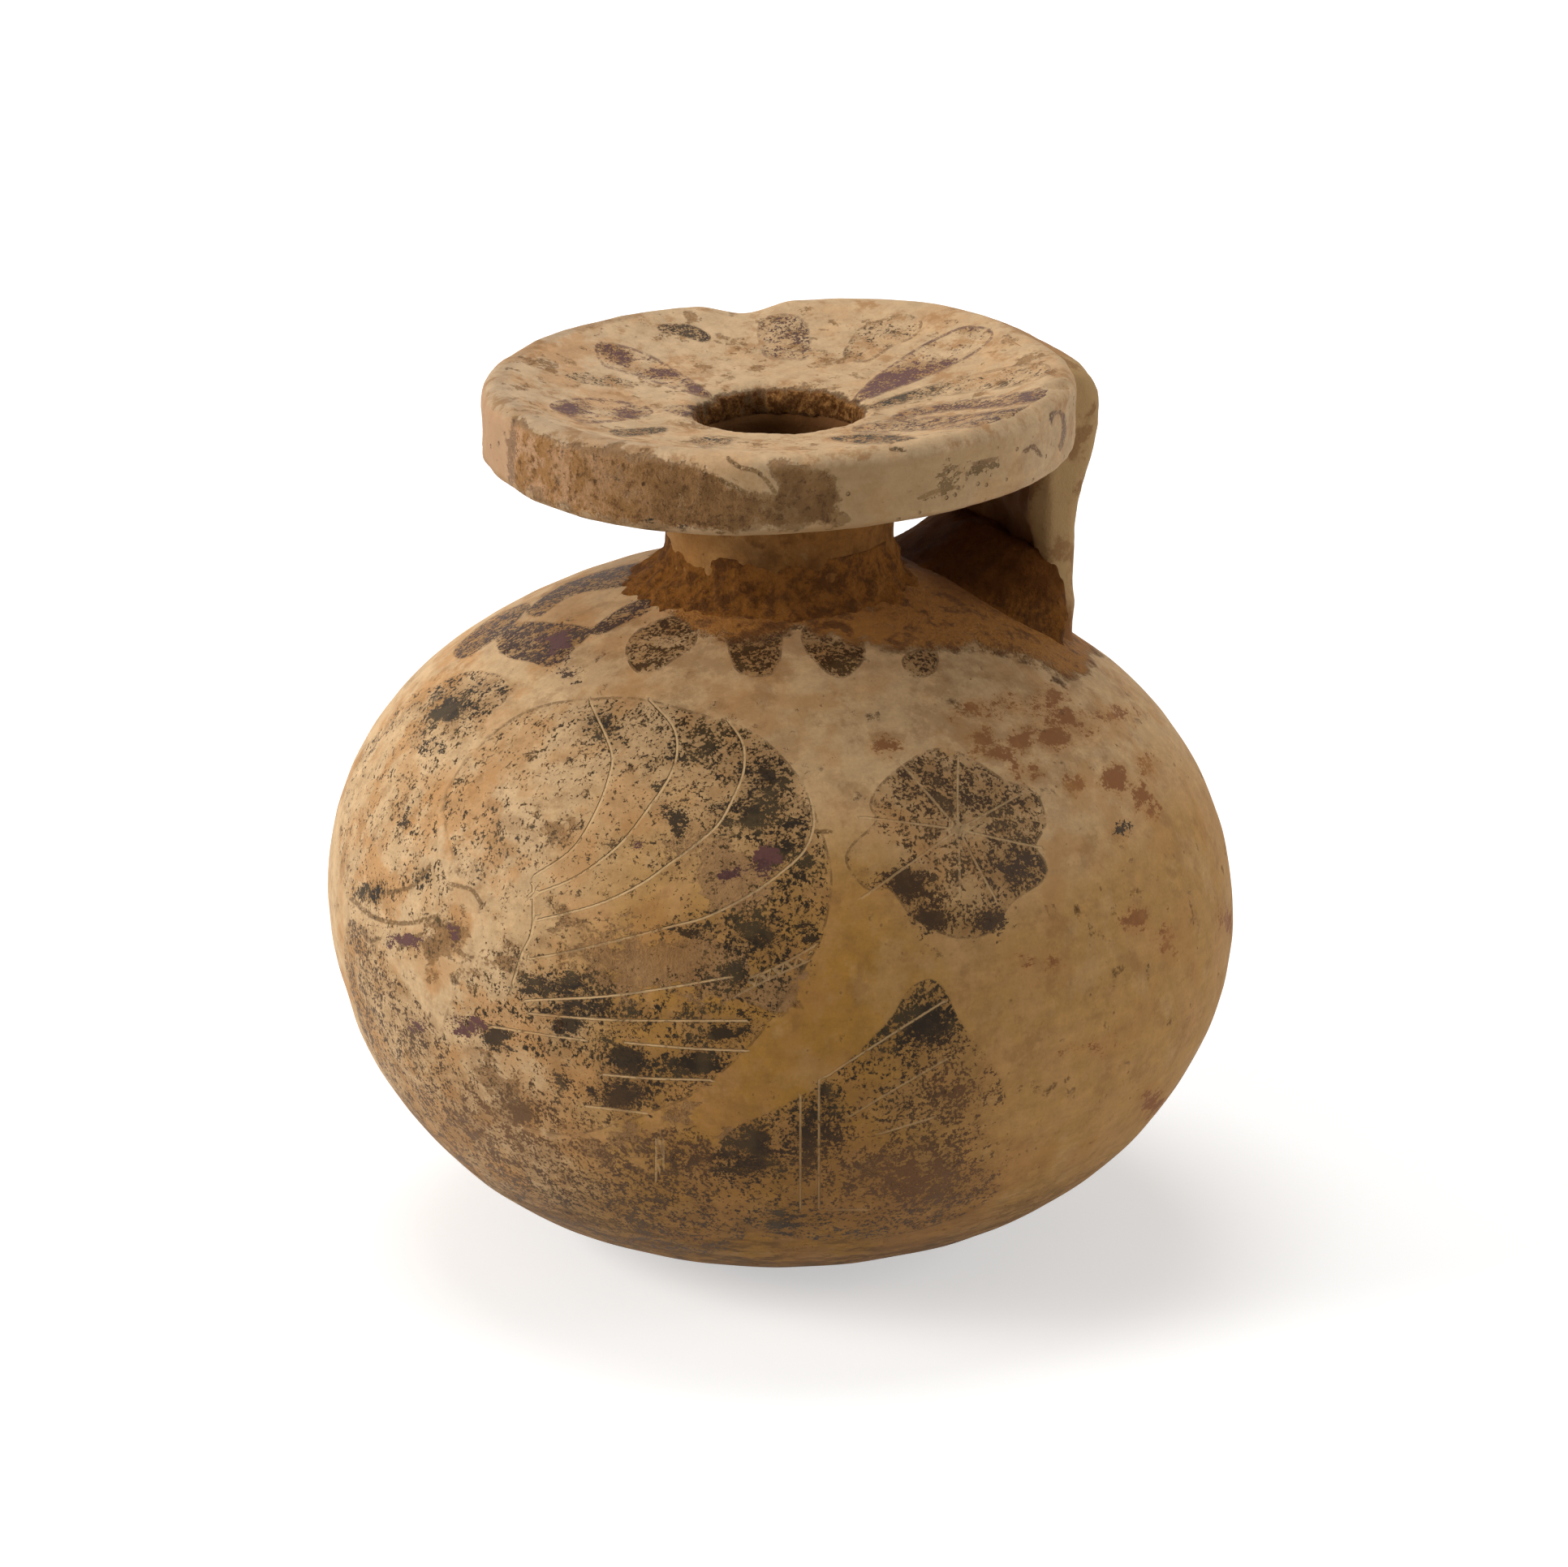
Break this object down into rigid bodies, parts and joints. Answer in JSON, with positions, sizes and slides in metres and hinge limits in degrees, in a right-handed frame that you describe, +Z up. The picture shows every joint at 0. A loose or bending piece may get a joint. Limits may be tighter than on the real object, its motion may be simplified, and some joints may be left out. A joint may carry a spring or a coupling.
{
  "type": "aryballos flask",
  "caption": "Small round-bodied clay scent flask with a short neck, a broad flat dished mouth plate and a strap handle from rim to shoulder.",
  "frame": {"origin": "on the axis of the flask at its resting face", "axes": "+Z up along the axis, out of the mouth; +X from the axis towards the strap handle"},
  "size_m": [0.068, 0.068, 0.0661],
  "materials": {
    "slipped_clay": "smoothed buff clay with worn dark slip ornament and fine incised lines, matt with a faint sheen",
    "neck_clay": "bare orange buff clay, matt",
    "rim_clay": "pale buff clay with worn dark and purple tongues on the dished top, matt",
    "handle_clay": "pale buff clay with dark specks, matt",
    "crusted_luting": "rough reddish brown clay with an earthy crust, matt",
    "luting_clay": "rough clay, matt"
  },
  "bodies": {
    "root": {"body": "slipped_clay", "neck": "neck_clay", "mouth_disc": "rim_clay", "handle": "handle_clay", "neck_foot_luting": "crusted_luting", "neck_head_luting": "luting_clay", "handle_foot_luting": "crusted_luting", "handle_head_luting": "luting_clay"}
  },
  "joints": []
}
